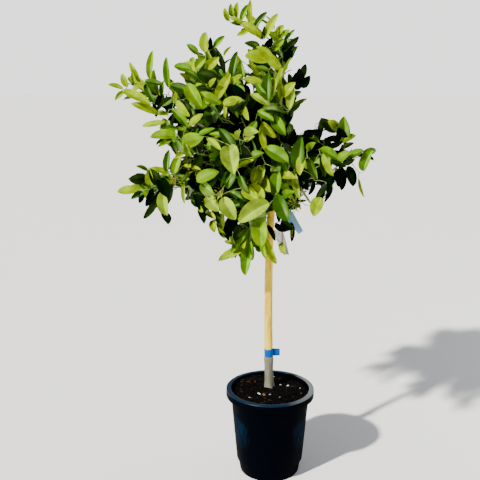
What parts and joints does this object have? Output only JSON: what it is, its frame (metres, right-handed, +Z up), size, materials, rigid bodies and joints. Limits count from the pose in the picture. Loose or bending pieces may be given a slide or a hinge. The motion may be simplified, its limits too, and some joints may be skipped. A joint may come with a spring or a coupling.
{
  "type": "potted lime tree",
  "caption": "Young citrus tree grown as a standard: a bare trunk with an open, uneven head of broad glossy leaves, in a tapered black nursery pot.",
  "frame": {"origin": "centre of the pot's flat underside", "axes": "+Z up along the trunk, -Y towards the front that the picture shows, +X to the tree's right as seen from the front"},
  "size_m": [0.9056, 0.7831, 1.714],
  "materials": {
    "pot_plastic": "satin",
    "potting_mix": "rough",
    "bark": "matte",
    "leaves_sunlit": "satin",
    "leaves_green": "satin",
    "leaves_shaded": "satin",
    "marker_tape": "satin",
    "label": "satin"
  },
  "bodies": {
    "root": {"pot": "pot_plastic", "potting_mix": "potting_mix", "trunk": "bark", "bough_left": "bark", "bough_upper_left": "bark", "bough_left_middle": "bark", "bough_left_near": "bark", "bough_lower_left": "bark", "bough_low_left_front": "bark", "bough_front": "bark", "bough_upper_front": "bark", "bough_front_right": "bark", "bough_right": "bark", "bough_right_near": "bark", "bough_right_low": "bark", "bough_back_right": "bark", "bough_back_right_low": "bark", "bough_back": "bark", "bough_back_low": "bark", "bough_back_left": "bark", "bough_back_left_low": "bark", "bough_back_top": "bark", "bough_low_front": "bark", "foliage_top_shoot": "leaves_sunlit", "foliage_top_right": "leaves_sunlit", "foliage_leader_front": "leaves_green", "foliage_upper_right": "leaves_green", "foliage_leader_left": "leaves_green", "foliage_leader_right": "leaves_green", "foliage_upper_left": "leaves_sunlit", "foliage_upper_front": "leaves_green", "foliage_left": "leaves_sunlit", "foliage_left_middle": "leaves_green", "foliage_left_near": "leaves_green", "foliage_lower_left": "leaves_green", "foliage_front": "leaves_green", "foliage_front_right": "leaves_green", "foliage_right_near": "leaves_green", "foliage_right": "leaves_green", "foliage_right_low": "leaves_shaded", "foliage_low_front": "leaves_shaded", "foliage_low_left_front": "leaves_shaded", "foliage_hanging": "leaves_shaded", "foliage_low_right": "leaves_shaded", "foliage_back_top": "leaves_green", "foliage_back_left": "leaves_green", "foliage_back_left_low": "leaves_shaded", "foliage_back": "leaves_green", "foliage_back_right": "leaves_green", "foliage_back_low": "leaves_shaded", "foliage_back_right_low": "leaves_shaded", "marker_tape": "marker_tape", "label_upper": "label", "label_lower": "label"}
  },
  "joints": []
}
